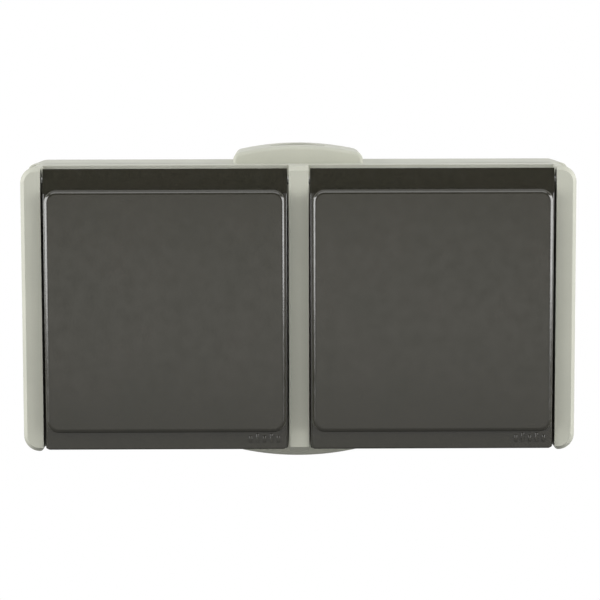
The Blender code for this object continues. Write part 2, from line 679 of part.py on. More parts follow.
def make_gang(side_name, centre_x):
    """Everything that one switch position holds."""
    gang = empty(f"gang_{side_name}", (centre_x, 0, 0))
    lid_axis = empty(f"lid_axis_{side_name}", (0, HINGE_Y, HINGE_Z), gang)
    rocker_axis = empty(f"rocker_axis_{side_name}", (0, ROCKER_Y, 0), gang)
    lever_axis = empty(f"lever_axis_{side_name}", (0, LEVER_Y, 0), gang)
    rocker_axis.rotation_euler = (ROCKER_TILT, 0, 0)
    lever_axis.rotation_euler = (LEVER_TILT, 0, 0)
    make_lid(f"lid_{side_name}", lid_axis)
    make_lid_seal(f"lid_seal_{side_name}", lid_axis)
    make_hinge_pin(f"lid_hinge_pin_{side_name}", gang)
    make_lid_spring(f"lid_spring_{side_name}", gang)
    make_rocker(f"rocker_{side_name}", rocker_axis)
    make_cradle(f"rocker_cradle_{side_name}", rocker_axis)
    make_plunger(f"plunger_{side_name}", rocker_axis)
    make_plunger_spring(f"plunger_spring_{side_name}", rocker_axis)
    make_switch_base(f"switch_base_{side_name}", gang)
    make_contact_lever(f"contact_lever_{side_name}", lever_axis)
    terminal_names = ("common_terminal", "load_terminal_upper", "load_terminal_lower")
    for terminal, (side, z) in zip(terminal_names, terminal_places()):
        make_terminal(f"{terminal}_{side_name}", side, z, gang)
        make_terminal_screw(f"{terminal}_screw_{side_name}", side, z, gang)
    make_strap(f"mounting_strap_{side_name}", gang)
    make_strap_screw(f"strap_screw_upper_{side_name}", STRAP_SCREW_Z, gang)
    make_strap_screw(f"strap_screw_lower_{side_name}", -STRAP_SCREW_Z, gang)


make_base()
make_cover()
make_cover_gasket()
make_entry_seals()
make_cover_screws()
make_gang("left", -GANG_X)
make_gang("right", GANG_X)
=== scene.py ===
"""Looks for the two-gang wall switch: housing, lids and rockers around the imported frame.

X runs to the right, Y into the wall and Z up, in metres. Lengths below are in millimetres times MM.
"""

import json
import math

import bmesh
import bpy
from mathutils import Matrix, Vector


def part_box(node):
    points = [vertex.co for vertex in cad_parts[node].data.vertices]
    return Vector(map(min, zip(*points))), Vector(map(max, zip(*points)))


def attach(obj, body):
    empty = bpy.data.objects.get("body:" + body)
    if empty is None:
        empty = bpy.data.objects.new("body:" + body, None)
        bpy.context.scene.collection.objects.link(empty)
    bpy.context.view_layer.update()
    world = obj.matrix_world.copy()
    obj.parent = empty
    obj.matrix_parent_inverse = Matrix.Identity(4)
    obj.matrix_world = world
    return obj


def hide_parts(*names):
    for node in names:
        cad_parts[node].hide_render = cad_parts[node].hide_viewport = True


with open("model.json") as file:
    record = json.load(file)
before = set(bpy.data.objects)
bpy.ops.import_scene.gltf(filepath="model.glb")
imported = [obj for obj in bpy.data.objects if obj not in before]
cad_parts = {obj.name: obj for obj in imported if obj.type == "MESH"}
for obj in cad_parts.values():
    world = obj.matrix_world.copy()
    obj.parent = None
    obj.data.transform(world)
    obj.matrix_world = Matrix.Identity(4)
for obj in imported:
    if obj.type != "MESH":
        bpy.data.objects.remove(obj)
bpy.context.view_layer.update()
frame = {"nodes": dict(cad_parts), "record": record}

MM = 0.001

# Places read from the frame
BASE_LOW, BASE_HIGH = (Vector(corner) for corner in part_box("base_box"))
COVER_LOW, COVER_HIGH = (Vector(corner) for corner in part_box("front_cover"))
LID_LOW, LID_HIGH = (Vector(corner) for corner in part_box("lid_right"))
PIN_LOW, PIN_HIGH = (Vector(corner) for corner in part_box("lid_hinge_pin_right"))
GANG_X = (LID_LOW.x + LID_HIGH.x) / 2
HINGE_Y = (PIN_LOW.y + PIN_HIGH.y) / 2
HINGE_Z = (PIN_LOW.z + PIN_HIGH.z) / 2

# Housing
HALF_WIDTH = COVER_HIGH.x
HALF_HEIGHT = COVER_HIGH.z
BASE_CORNER_RADIUS = 2.0 * MM
COVER_CORNER_RADIUS = 4.3 * MM
CHEEK_CHAMFER_WIDTH = 1.1 * MM
CHEEK_CHAMFER_DEPTH = 1.5 * MM
CHEEK_FOOT_RADIUS = 1.3 * MM
CHEEK_HEAD_RADIUS = 0.5 * MM
WALL = 2.2 * MM
REAR_WALL = 2.4 * MM
BASE_FRONT_Y = BASE_LOW.y
COVER_BACK_Y = COVER_HIGH.y
CHEEK_FACE_Y = COVER_LOW.y
BAR_HALF_WIDTH = 2.65 * MM
CHEEK_INNER_X = 68.5 * MM
FLOOR_Y = -41.0 * MM
FLOOR_THICKNESS = 2.0 * MM
APERTURE_HALF = 24.4 * MM
APERTURE_CORNER_RADIUS = 0.8 * MM
COLLAR_WALL = 2.0 * MM
COLLAR_CORNER_RADIUS = 2.4 * MM
COLLAR_FACE_Y = -49.0 * MM
COVER_SCREW_X = 64.2 * MM
COVER_SCREW_Z = 29.8 * MM
COVER_SCREW_HOLE_RADIUS = 3.1 * MM
PIN_SEAT_RADIUS = 1.15 * MM
PIN_SEAT_CLEARANCE = 0.3 * MM
FIXING_X = 60.0 * MM
FIXING_Z = 18.0 * MM
FIXING_RADIUS = 2.3 * MM
FIXING_SINK_RADIUS = 3.6 * MM
SEAM_ROUNDING = 0.45 * MM

# Entry bosses
BOSS_HALF_WIDTH = 17.8 * MM
BOSS_TOP_Z = BASE_HIGH.z
BOSS_CROWN_RADIUS = 75.0 * MM
BOSS_FILLET = 2.2 * MM
ENTRY_Y = -15.0 * MM
ENTRY_HOLE_RADIUS = 8.0 * MM
SEAL_RECESS = 0.6 * MM
SEAL_RADIUS = ENTRY_HOLE_RADIUS - 0.3 * MM
SEAL_FLANGE_Z = HALF_HEIGHT + 1.9 * MM
SEAL_FLANGE_WIDTH = 1.5 * MM
SEAL_FLANGE_THICKNESS = 1.2 * MM
GROMMET_HOLE_RADIUS = 4.0 * MM
GROMMET_SKIRT = 2.8 * MM

# Lids, about their gang's centre
LID_HALF_WIDTH = (LID_HIGH.x - LID_LOW.x) / 2
LID_BACK_Y = LID_HIGH.y
LID_BOTTOM_Z = LID_LOW.z
PAD_FACE_Y = LID_LOW.y
PAD_HALF_WIDTH = LID_HALF_WIDTH - 0.4 * MM
PAD_BOTTOM_Z = -32.7 * MM
PAD_TOP_Z = 32.25 * MM
PAD_RADIUS = 3.4 * MM
PAD_FILLET = 1.2 * MM
PAD_DRAFT = 0.1 * MM
FLANGE_FACE_Y = -49.9 * MM
LIP_FACE_Y = -51.4 * MM
LIP_FILLET = 0.45 * MM
LIP_RADIUS = 0.8 * MM
LIP_INSET = 0.4 * MM
MARK_RIBS = 5
MARK_RIB_WIDTH = 0.7 * MM
MARK_RIB_SPACING = 1.85 * MM
MARK_RIB_PROUD = 0.3 * MM
LID_WALL = 1.8 * MM
LID_CORNER_RADIUS = 0.5 * MM
LID_BORE_RADIUS = 1.3 * MM
SPRING_SPACE_RADIUS = 2.2 * MM
SPRING_SPACE_HALF = 6.0 * MM
BARREL_RADIUS = 2.9 * MM
HOOD_SLOPE = math.radians(12)
HOOD_TOP_Z = HINGE_Z + 3.25 * MM

# Rockers, about their own pivot before they tip
ROCKER_PIVOT = Vector((0, -38.0 * MM, 0))
ROCKER_TILT = math.radians(6)
ROCKER_HALF = 23.4 * MM
ROCKER_FACE_Y = -46.5 * MM
ROCKER_BACK_Y = -40.0 * MM
ROCKER_WALL = 1.8 * MM
ROCKER_CORNER_RADIUS = 1.6 * MM
ROCKER_FILLET = 0.9 * MM
ROCKER_DISH = 0.5 * MM
ROCKER_DISH_HALF = ROCKER_HALF * 0.8

# Camera
CAMERA_PLACE = Vector((-4.1, -633.4, 63.5)) * MM
CAMERA_PITCH = math.radians(-5.96)
CAMERA_YAW = math.radians(-0.43)
CAMERA_ROLL = math.radians(-0.14)
CAMERA_LENS = 132.1

# Studio
FRONT_RADIANCE = 0.06
BACK_RADIANCE = 1.0
# The floor's glow carries painted shade: dimmer near and under the switch, where its shadow would fall,
# brighter in front
FLOOR_NEAR_PAINTED_SHADE = 0.22
FLOOR_FRONT_RADIANCE = 0.45
SIDE_RADIANCE = 5.5
TOP_RADIANCE = 1.6
PANEL_RADIANCE = 0.33
WHITE = (1.0, 1.0, 1.0)
WARM_WHITE = (1.0, 0.96, 0.86)
SIDE_BOX_PLACE = (0.74, -0.29, 0.14)
SIDE_BOX_SIZE = (1.0, 0.46)
TOP_BOX_PLACE = (0, -0.4, 0.6)
TOP_BOX_SIZE = (1.0, 0.5)
FRONT_PANEL_PLACE = (0, -0.95, -0.12)
FRONT_PANEL_SIZE = (0.45, 0.4)
LIGHT_TARGET = (0, -0.04, 0)
FLOOR_Z = -0.16
FLOOR_SIZE = 8

# Meshes
ARC_STEPS = 10
CREASE_ANGLE = math.radians(50)


# Mesh helpers


def object_from(shape, name):
    """Turn a bmesh into an object in the scene."""
    mesh = bpy.data.meshes.new(name)
    shape.to_mesh(mesh)
    shape.free()
    made = bpy.data.objects.new(name, mesh)
    bpy.context.scene.collection.objects.link(made)
    return made


def arc(centre_x, centre_z, radius, start, end, steps=ARC_STEPS):
    """Points on an arc, with its angles in degrees."""
    angles = [math.radians(start + (end - start) * step / steps) for step in range(steps + 1)]
    return [(centre_x + radius * math.cos(a), centre_z + radius * math.sin(a)) for a in angles]


def rounded_outline(half_width, low_z, high_z, radius, centre_x=0.0):
    """A rectangle with rounded corners, anticlockwise."""
    inner_x = half_width - radius
    points = arc(centre_x + inner_x, low_z + radius, radius, -90, 0)
    points += arc(centre_x + inner_x, high_z - radius, radius, 0, 90)
    points += arc(centre_x - inner_x, high_z - radius, radius, 90, 180)
    points += arc(centre_x - inner_x, low_z + radius, radius, 180, 270)
    return points


def boss_outline(inset=0.0):
    """The top boss, which reaches down into the housing, moved inwards by inset."""
    half_width = BOSS_HALF_WIDTH - inset
    crown_radius = BOSS_CROWN_RADIUS - inset
    crown_centre = BOSS_TOP_Z - BOSS_CROWN_RADIUS
    fillet = max(BOSS_FILLET - inset, 0.4 * MM)
    fillet_x = half_width - fillet
    fillet_z = crown_centre + math.sqrt((crown_radius - fillet) ** 2 - fillet_x ** 2)
    meeting = math.degrees(math.atan2(fillet_z - crown_centre, fillet_x))
    foot_z = HALF_HEIGHT - WALL - 1 * MM
    points = [(half_width, foot_z)]
    points += arc(fillet_x, fillet_z, fillet, 0, meeting, 6)
    points += arc(0, crown_centre, crown_radius, meeting, 180 - meeting, 32)[1:-1]
    points += arc(-fillet_x, fillet_z, fillet, 180 - meeting, 180, 6)
    points += [(-half_width, foot_z)]
    return points


def fillet_levels(edge_y, radius, outwards, steps=5):
    """(inset, y) levels of a quarter-round edge, from the side wall to the face at edge_y."""
    levels = []
    for step in range(steps + 1):
        angle = math.pi / 2 * step / steps
        inset = radius * (1 - math.cos(angle))
        levels.append((inset, edge_y - outwards * radius * (1 - math.sin(angle))))
    return levels


def loft(name, outline_at, levels):
    """A closed solid through outlines, one at each (inset, y) level, with flat ends."""
    shape = bmesh.new()
    rings = []
    for inset, y in levels:
        rings.append([shape.verts.new((x, y, z)) for x, z in outline_at(inset)])
    for ring, following in zip(rings, rings[1:]):
        for index in range(len(ring)):
            after = (index + 1) % len(ring)
            shape.faces.new((ring[index], ring[after], following[after], following[index]))
    shape.faces.new(rings[0])
    shape.faces.new(reversed(rings[-1]))
    bmesh.ops.recalc_face_normals(shape, faces=shape.faces)
    return object_from(shape, name)


def slab(name, outline, back_y, front_y, back_fillet=0.0, front_fillet=0.0):
    """A flat solid with rounded rims. The outline is XZ points, or gives them for an inset."""
    levels = []
    if back_fillet:
        levels += fillet_levels(back_y, back_fillet, 1)[::-1]
    else:
        levels.append((0.0, back_y))
    if front_fillet:
        levels += fillet_levels(front_y, front_fillet, -1)
    else:
        levels.append((0.0, front_y))
    return loft(name, outline if callable(outline) else lambda inset: outline, levels)


def blocks(*corner_pairs):
    """One object of separate boxes, each from its lowest to its highest corner."""
    shape = bmesh.new()
    for low, high in corner_pairs:
        low, high = Vector(low), Vector(high)
        place = Matrix.Translation((low + high) / 2) @ Matrix.Diagonal((*(high - low), 1.0))
        bmesh.ops.create_cube(shape, size=1.0, matrix=place)
    return object_from(shape, "blocks")


def rods(radius, *end_pairs, sides=48):
    """One object of separate round bars of one radius."""
    shape = bmesh.new()
    for start, end in end_pairs:
        start, end = Vector(start), Vector(end)
        along = end - start
        turn = Vector((0, 0, 1)).rotation_difference(along).to_matrix().to_4x4()
        place = Matrix.Translation((start + end) / 2) @ turn
        bmesh.ops.create_cone(
            shape, cap_ends=True, segments=sides, radius1=radius, radius2=radius,
            depth=along.length, matrix=place,
        )
    return object_from(shape, "rods")


def prism_x(name, profile, low_x, high_x):
    """A solid with a (y, z) profile between two X places."""
    shape = bmesh.new()
    near = [shape.verts.new((low_x, y, z)) for y, z in profile]
    far = [shape.verts.new((high_x, y, z)) for y, z in profile]
    count = len(profile)
    for index in range(count):
        after = (index + 1) % count
        shape.faces.new((near[index], near[after], far[after], far[index]))
    shape.faces.new(reversed(near))
    shape.faces.new(far)
    bmesh.ops.recalc_face_normals(shape, faces=shape.faces)
    return object_from(shape, name)


def turned(name, profile, centre, to_front=False, steps=48):
    """A turned solid from (radius, height) points. It stands on Z, or faces the front along -Y."""
    shape = bmesh.new()
    verts = [shape.verts.new((radius, 0, height)) for radius, height in profile]
    edges = [shape.edges.new(pair) for pair in zip(verts, verts[1:])]
    if profile[0][0] > 0:
        edges.append(shape.edges.new((verts[-1], verts[0])))
    bmesh.ops.spin(
        shape, geom=verts + edges, cent=(0, 0, 0), axis=(0, 0, 1), angle=2 * math.pi, steps=steps,
    )
    bmesh.ops.remove_doubles(shape, verts=shape.verts, dist=0.001 * MM)
    bmesh.ops.recalc_face_normals(shape, faces=shape.faces)
    turn = Matrix.Rotation(math.radians(90), 4, "X") if to_front else Matrix.Identity(4)
    bmesh.ops.transform(shape, matrix=Matrix.Translation(centre) @ turn, verts=shape.verts)
    return object_from(shape, name)


def apply_modifiers(piece):
    """Replace a piece's mesh by its evaluated mesh."""
    graph = bpy.context.evaluated_depsgraph_get()
    mesh = bpy.data.meshes.new_from_object(piece.evaluated_get(graph))
    piece.modifiers.clear()
    piece.data = mesh


def boolean(piece, operation, *tools):
    """Join or cut with tool shapes, which are then removed."""
    for tool in tools:
        modifier = piece.modifiers.new(operation, "BOOLEAN")
        modifier.operation = operation
        modifier.solver = "EXACT"
        modifier.object = tool
    apply_modifiers(piece)
    for tool in tools:
        bpy.data.objects.remove(tool, do_unlink=True)


def shade(piece):
    """Smooth shading that keeps flat faces flat and sharp edges crisp."""
    piece.data.shade_smooth()
    piece.data.set_sharp_from_angle(angle=CREASE_ANGLE)
    weigh = piece.modifiers.new("weigh", "WEIGHTED_NORMAL")
    weigh.weight = 100
    weigh.keep_sharp = True
    apply_modifiers(piece)


def soften(piece, width, angle=35):
    """Break a piece's edges sharper than the angle, in degrees, and shade it smooth."""
    bevel = piece.modifiers.new("soften", "BEVEL")
    bevel.width = width
    bevel.segments = 2
    bevel.limit_method = "ANGLE"
    bevel.angle_limit = math.radians(angle)
    bevel.use_clamp_overlap = True
    apply_modifiers(piece)
    shade(piece)


def flipped(piece):
    """Turn a shape upside down about the depth axis."""
    piece.data.transform(Matrix.Rotation(math.pi, 4, "Y"))
    return piece


def mirrored_xz(x, z):
    """A place and its mirror images in X and Z."""
    return [(side * x, level * z) for side in (-1, 1) for level in (-1, 1)]


# Materials


def node_adder(tree):
    """A function that adds a node to the tree, with linked or plain inputs."""

    def add(kind, inputs=None, **settings):
        node = tree.nodes.new(kind)
        for key, value in settings.items():
            setattr(node, key, value)
        for key, value in (inputs or {}).items():
            if isinstance(value, bpy.types.NodeSocket):
                tree.links.new(value, node.inputs[key])
            else:
                node.inputs[key].default_value = value
        return node

    return add


def principled(name):
    """A new material, its shader, a function that adds nodes, and its links."""
    made = bpy.data.materials.new(name)
    made.use_nodes = True
    tree = made.node_tree
    return made, tree.nodes["Principled BSDF"], node_adder(tree), tree.links


def ramp(add, source, stops):
    """A colour ramp over a value, from (place, colour) stops."""
    node = add("ShaderNodeValToRGB", {"Fac": source})
    node.color_ramp.elements[0].position = stops[0][0]
    node.color_ramp.elements[0].color = (*stops[0][1], 1)
    node.color_ramp.elements[1].position = stops[1][0]
    node.color_ramp.elements[1].color = (*stops[1][1], 1)
    return node.outputs["Color"]


def moulded_plastic(name, dark, light, roughness, grain_scale, grain_depth, speckle=0.0, specular=0.5):
    """Satin moulded plastic: soft mottling, fine speckle, uneven gloss and a spark-eroded grain."""
    made, shader, add, links = principled(name)
    shader.inputs["Specular IOR Level"].default_value = specular
    place = add("ShaderNodeTexCoord").outputs["Object"]
    mottle = add("ShaderNodeTexNoise", {"Vector": place, "Scale": 70.0, "Detail": 4.0})
    grain = add("ShaderNodeTexNoise", {"Vector": place, "Scale": grain_scale, "Detail": 3.0})
    tint = ramp(add, mottle.outputs["Fac"], [(0.35, dark), (0.65, light)])
    level = add("ShaderNodeMapRange", {
        "Value": grain.outputs["Fac"], "From Min": 0.3, "From Max": 0.7,
        "To Min": 1.0 - speckle, "To Max": 1.0 + speckle,
    })
    speckled = add("ShaderNodeVectorMath", {0: tint, 1: level.outputs["Result"]}, operation="MULTIPLY")
    links.new(speckled.outputs["Vector"], shader.inputs["Base Color"])
    gloss = add("ShaderNodeTexNoise", {"Vector": place, "Scale": 300.0, "Detail": 3.0})
    spread = add("ShaderNodeMapRange", {
        "Value": gloss.outputs["Fac"], "From Min": 0.3, "From Max": 0.7,
        "To Min": roughness - 0.04, "To Max": roughness + 0.05,
    })
    links.new(spread.outputs["Result"], shader.inputs["Roughness"])
    bump = add("ShaderNodeBump", {"Height": grain.outputs["Fac"], "Strength": 1.0, "Distance": grain_depth})
    links.new(bump.outputs["Normal"], shader.inputs["Normal"])
    return made


def metal(name, dark, light, roughness, streak_axis=0):
    """Plated or stamped metal with fine streaks along one axis."""
    made, shader, add, links = principled(name)
    shader.inputs["Metallic"].default_value = 1.0
    place = add("ShaderNodeTexCoord").outputs["Object"]
    stretch = [3000.0, 3000.0, 3000.0]
    stretch[streak_axis] = 150.0
    streaks = add("ShaderNodeMapping", {"Vector": place, "Scale": stretch})
    noise = add("ShaderNodeTexNoise", {"Vector": streaks.outputs["Vector"], "Scale": 1.0, "Detail": 3.0})
    links.new(ramp(add, noise.outputs["Fac"], [(0.3, dark), (0.7, light)]), shader.inputs["Base Color"])
    spread = add("ShaderNodeMapRange", {
        "Value": noise.outputs["Fac"], "To Min": roughness - 0.08, "To Max": roughness + 0.1,
    })
    links.new(spread.outputs["Result"], shader.inputs["Roughness"])
    bump = add("ShaderNodeBump", {"Height": noise.outputs["Fac"], "Strength": 0.4, "Distance": 0.01 * MM})
    links.new(bump.outputs["Normal"], shader.inputs["Normal"])
    return made


def make_materials():
    """Every finish, by its slot in the record."""
    return {
        "light_grey_plastic": moulded_plastic(
            "light_grey_plastic", (0.45, 0.455, 0.39), (0.475, 0.48, 0.41), 0.5,
            2600.0, 0.01 * MM, speckle=0.02, specular=0.35,
        ),
        "dark_lid_plastic": moulded_plastic(
            "dark_lid_plastic", (0.0235, 0.0225, 0.015), (0.0265, 0.0245, 0.017), 0.15,
            2300.0, 0.01 * MM, speckle=0.3, specular=1.0,
        ),
        "white_insert_plastic": moulded_plastic(
            "white_insert_plastic", (0.66, 0.65, 0.61), (0.7, 0.69, 0.65), 0.5,
            2600.0, 0.01 * MM,
        ),
        "black_rubber": moulded_plastic(
            "black_rubber", (0.014, 0.014, 0.014), (0.022, 0.022, 0.021), 0.7,
            1800.0, 0.02 * MM, speckle=0.1,
        ),
        "grey_rubber": moulded_plastic(
            "grey_rubber", (0.25, 0.255, 0.23), (0.29, 0.295, 0.265), 0.65,
            1800.0, 0.02 * MM, speckle=0.05,
        ),
        "zinc_plated_steel": metal("zinc_plated_steel", (0.42, 0.43, 0.42), (0.58, 0.58, 0.56), 0.34),
        "spring_steel": metal("spring_steel", (0.4, 0.4, 0.41), (0.55, 0.55, 0.55), 0.28),
        "contact_brass": metal("contact_brass", (0.62, 0.44, 0.17), (0.75, 0.55, 0.25), 0.3, streak_axis=2),
    }


FINISHES = make_materials()


def finish_piece(piece, body, slot, *nodes):
    """Give a piece its finish and its body, and let it stand for its CAD nodes."""
    piece.data.materials.clear()
    piece.data.materials.append(FINISHES[slot])
    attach(piece, body)
    if nodes:
        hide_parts(*nodes)


# Housing


def body_outline(inset, corner_radius=COVER_CORNER_RADIUS):
    """The housing's outline without its bosses."""
    radius = corner_radius - inset
    return rounded_outline(HALF_WIDTH - inset, -HALF_HEIGHT + inset, HALF_HEIGHT - inset, radius)


def base_outline(inset):
    """The rear box's outline, whose corners are tighter than the cover's."""
    return body_outline(inset, BASE_CORNER_RADIUS)


def pocket_outline():
    """The right pocket in (x, z), open at both ends, where it rounds the cheek's corners."""
    far = 2 * HALF_HEIGHT
    foot, head = CHEEK_FOOT_RADIUS, CHEEK_HEAD_RADIUS
    points = [(BAR_HALF_WIDTH, far), (BAR_HALF_WIDTH, -far), (CHEEK_INNER_X + foot, -far)]
    points += arc(CHEEK_INNER_X + foot, -HALF_HEIGHT + foot, foot, 270, 180)
    points += arc(CHEEK_INNER_X + head, HALF_HEIGHT - head, head, 180, 90)
    return points + [(CHEEK_INNER_X + head, far)]


def make_base():
    """The rear box: rounded shell, two arched bosses, fixing holes and cable entries."""
    base = slab("base_shell", base_outline, 0, BASE_FRONT_Y, 0.8 * MM, SEAM_ROUNDING)
    boss = [slab("boss", boss_outline, 0, BASE_FRONT_Y, 0.6 * MM, 1.1 * MM) for _ in range(2)]
    boolean(base, "UNION", boss[0], flipped(boss[1]))
    beyond = BASE_FRONT_Y - 10 * MM
    hollow = slab("hollow", body_outline(WALL), -REAR_WALL, beyond)
    boss_hollow = [slab("hollow", boss_outline(WALL), -REAR_WALL, BASE_FRONT_Y + WALL) for _ in range(2)]
    boolean(base, "DIFFERENCE", hollow, boss_hollow[0], flipped(boss_hollow[1]))
    low, high = HALF_HEIGHT - 4 * MM, BOSS_TOP_Z + 1 * MM
    entries = [((0, ENTRY_Y, side * low), (0, ENTRY_Y, side * high)) for side in (-1, 1)]
    places = mirrored_xz(FIXING_X, FIXING_Z)
    fixings = rods(FIXING_RADIUS, *[((x, 1 * MM, z), (x, -4 * MM, z)) for x, z in places])
    sinks = rods(FIXING_SINK_RADIUS, *[((x, 1 * MM, z), (x, -0.5 * MM, z)) for x, z in places])
    boolean(base, "DIFFERENCE", rods(ENTRY_HOLE_RADIUS, *entries, sides=64), fixings)
    boolean(base, "DIFFERENCE", sinks)
    soften(base, 0.15 * MM)
    finish_piece(base, "housing", "light_grey_plastic", "base_box")


def make_cover():
    """The front shell: cheeks, centre bar, pockets, collars and screw recesses."""
    back = fillet_levels(COVER_BACK_Y, SEAM_ROUNDING, 1)[::-1]
    front = [(0.0, CHEEK_FACE_Y + CHEEK_CHAMFER_DEPTH), (CHEEK_CHAMFER_WIDTH, CHEEK_FACE_Y)]
    cover = loft("cover_shell", body_outline, back + front)
    beyond = CHEEK_FACE_Y - 5 * MM
    for side in (-1, 1):
        outline = [(side * x, z) for x, z in pocket_outline()]
        boolean(cover, "DIFFERENCE", slab("pocket", outline, FLOOR_Y, beyond))
    floor_back = FLOOR_Y + FLOOR_THICKNESS
    boolean(cover, "DIFFERENCE", slab("hollow", body_outline(WALL), 0, floor_back))
    outer = APERTURE_HALF + COLLAR_WALL
    for side in (-1, 1):
        centre = side * GANG_X
        ring = rounded_outline(outer, -outer, outer, COLLAR_CORNER_RADIUS, centre)
        collar = slab("collar", ring, floor_back - 1 * MM, COLLAR_FACE_Y)
        boolean(cover, "UNION", collar)
        half = APERTURE_HALF
        window = rounded_outline(half, -half, half, APERTURE_CORNER_RADIUS, centre)
        boolean(cover, "DIFFERENCE", slab("window", window, floor_back + 1 * MM, beyond))
    corners = mirrored_xz(COVER_SCREW_X, COVER_SCREW_Z)
    recesses = [((x, FLOOR_Y + 5 * MM, z), (x, FLOOR_Y - 1 * MM, z)) for x, z in corners]
    boolean(cover, "DIFFERENCE", rods(COVER_SCREW_HOLE_RADIUS, *recesses))
    reach = (PIN_HIGH.x - PIN_LOW.x) / 2 + PIN_SEAT_CLEARANCE
    spans = [(centre - reach, centre + reach) for centre in (-GANG_X, GANG_X)]
    seats = [((low, HINGE_Y, HINGE_Z), (high, HINGE_Y, HINGE_Z)) for low, high in spans]
    boolean(cover, "DIFFERENCE", rods(PIN_SEAT_RADIUS, *seats))
    soften(cover, 0.18 * MM)
    finish_piece(cover, "housing", "light_grey_plastic", "front_cover")


def make_entry_seals():
    """The ribbed grommet in the top boss and the blank plug in the bottom boss."""
    face = BOSS_TOP_Z - SEAL_RECESS
    neck = SEAL_RADIUS
    flange = neck + SEAL_FLANGE_WIDTH
    bottom = SEAL_FLANGE_Z - SEAL_FLANGE_THICKNESS
    rim = [(neck - 0.5 * MM, face), (neck - 0.1 * MM, face - 0.15 * MM), (neck, face - 0.5 * MM)]
    foot = [(neck, SEAL_FLANGE_Z), (flange, SEAL_FLANGE_Z), (flange, bottom)]
    steps = []
    for ring in range(3):
        radius = neck - (1.4 + 1.1 * ring) * MM
        top = face - (0.9 + 0.25 * ring) * MM
        steps += [(radius - 0.5 * MM, top), (radius, top + 0.35 * MM)]
    ribs = sorted(steps, key=lambda point: point[0])
    hole = GROMMET_HOLE_RADIUS
    foot_z = bottom - GROMMET_SKIRT
    grommet = [(hole, face - 1.6 * MM)] + [p for p in ribs if p[0] > hole + 0.2 * MM] + rim + foot
    grommet += [(hole + 2.0 * MM, bottom), (hole + 0.9 * MM, foot_z), (hole, foot_z)]
    entry = turned("cable_grommet", grommet, (0, ENTRY_Y, 0), steps=72)
    shade(entry)
    finish_piece(entry, "housing", "grey_rubber", "top_entry_grommet")
    plug = [(0, face - 1.2 * MM), (2.5 * MM, face - 1.2 * MM)]
    plug += [p for p in ribs if p[0] > 3 * MM] + rim + foot + [(0, bottom)]
    blank = turned("entry_plug", plug, (0, ENTRY_Y, 0), steps=72)
    blank.data.transform(Matrix.Translation((0, 2 * ENTRY_Y, 0)) @ Matrix.Rotation(math.pi, 4, "X"))
    shade(blank)
    finish_piece(blank, "housing", "grey_rubber", "bottom_entry_plug")


def make_cover_screws():
    """Cross-head screws sunk in the pockets' outer corners."""
    for number in range(1, 5):
        node = f"cover_screw_{number}"
        low, high = (Vector(corner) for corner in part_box(node))
        centre = (low + high) / 2
        head_radius = (high.x - low.x) / 2
        top = (centre.x, low.y, centre.z)
        length = high.y - low.y
        shank = head_radius * 0.6
        profile = [(0, 0), (head_radius * 0.5, -0.08 * MM), (head_radius * 0.85, -0.45 * MM)]
        profile += [(head_radius, -1.0 * MM), (head_radius, -2.2 * MM), (shank, -2.3 * MM)]
        profile += [(shank, -length + shank), (0.2 * MM, -length), (0, -length)]
        screw = turned(f"cover_fixing_{number}", profile, top, to_front=True, steps=40)
        turn = Matrix.Translation(top) @ Matrix.Rotation(math.radians(20 + 31 * number), 4, "Y")
        half, thin, depth = 1.6 * MM, 0.32 * MM, 1.1 * MM
        for sizes in ((half, thin), (thin, half)):
            bar = blocks(((-sizes[0], -1 * MM, -sizes[1]), (sizes[0], depth, sizes[1])))
            bar.data.transform(turn)
            boolean(screw, "DIFFERENCE", bar)
        soften(screw, 0.06 * MM, 40)
        finish_piece(screw, "housing", "zinc_plated_steel", node)


# Lids


def pad_outline(inset):
    """The raised pad's outline."""
    radius = PAD_RADIUS - inset
    return rounded_outline(PAD_HALF_WIDTH - inset, PAD_BOTTOM_Z + inset, PAD_TOP_Z - inset, radius)


def hood_profile():
    """The hinge hood in (y, z): round behind the pin, flat on top and sloping down to the pad."""
    behind = arc(HINGE_Y, HINGE_Z, BARREL_RADIUS, -90, 60, 15)
    top_y = HINGE_Y - 1.9 * MM
    foot_z = PAD_TOP_Z - 1.2 * MM
    foot_y = top_y - math.tan(HOOD_SLOPE) * (HOOD_TOP_Z - foot_z)
    brow = [(HINGE_Y, HOOD_TOP_Z), (top_y, HOOD_TOP_Z)]
    return behind + brow + [(foot_y, foot_z), (HINGE_Y, foot_z)]


def lip_outline(inset):
    """The finger lip's outline, from the lid's lower edge up to behind the pad."""
    half_width = LID_HALF_WIDTH - LIP_INSET - inset
    return rounded_outline(half_width, LID_BOTTOM_Z + inset, PAD_BOTTOM_Z + 3 * MM, LIP_RADIUS - inset)


def protection_mark(name):
    """A small raised mark of plain upright ribs, in the lip's lower right corner."""
    front_y, back_y = LIP_FACE_Y - MARK_RIB_PROUD, LIP_FACE_Y + MARK_RIB_PROUD
    low = LID_BOTTOM_Z + 1.8 * MM
    left = LID_HALF_WIDTH - 10.3 * MM
    ribs = []
    for index in range(MARK_RIBS):
        x = left + index * MARK_RIB_SPACING
        height = (2.5 if index % 2 else 1.9) * MM
        ribs.append(((x, front_y, low), (x + MARK_RIB_WIDTH, back_y, low + height)))
    mark = blocks(*ribs)
    mark.name = name
    return mark


